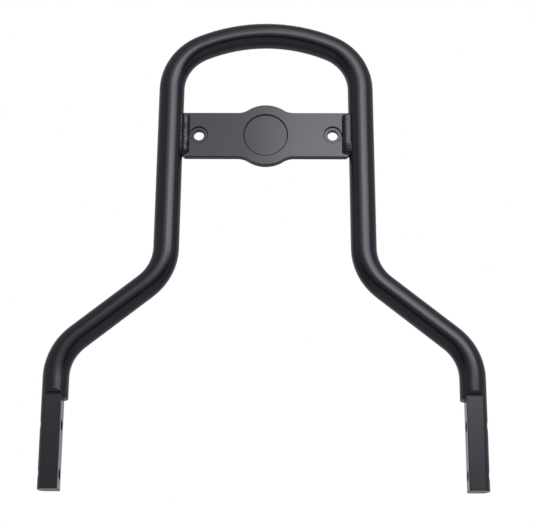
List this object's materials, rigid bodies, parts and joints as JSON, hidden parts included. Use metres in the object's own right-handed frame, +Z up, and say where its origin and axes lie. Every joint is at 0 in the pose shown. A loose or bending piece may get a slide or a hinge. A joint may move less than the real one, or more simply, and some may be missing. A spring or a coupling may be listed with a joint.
{
  "type": "sissy bar",
  "caption": "Black sissy bar upright of bent round bar with an arched crown, legs kicked outward to flat drilled ends, and a welded cross plate with a round recess and pad bolt holes.",
  "frame": {"origin": "midway between the two legs, at the height of their lower ends, in the plane of the bar", "axes": "+Z up along the legs, +X across the motorcycle, +Y towards the rider and the backrest pad; the show side with the recess faces -Y"},
  "size_m": [0.2644, 0.0158, 0.2988],
  "materials": {
    "black_coat": "semi-gloss black powder coat"
  },
  "bodies": {
    "root": {"upright_bar": "black_coat", "backrest_plate": "black_coat", "weld_front_left": "black_coat", "weld_front_right": "black_coat", "weld_rear_left": "black_coat", "weld_rear_right": "black_coat"}
  },
  "joints": []
}
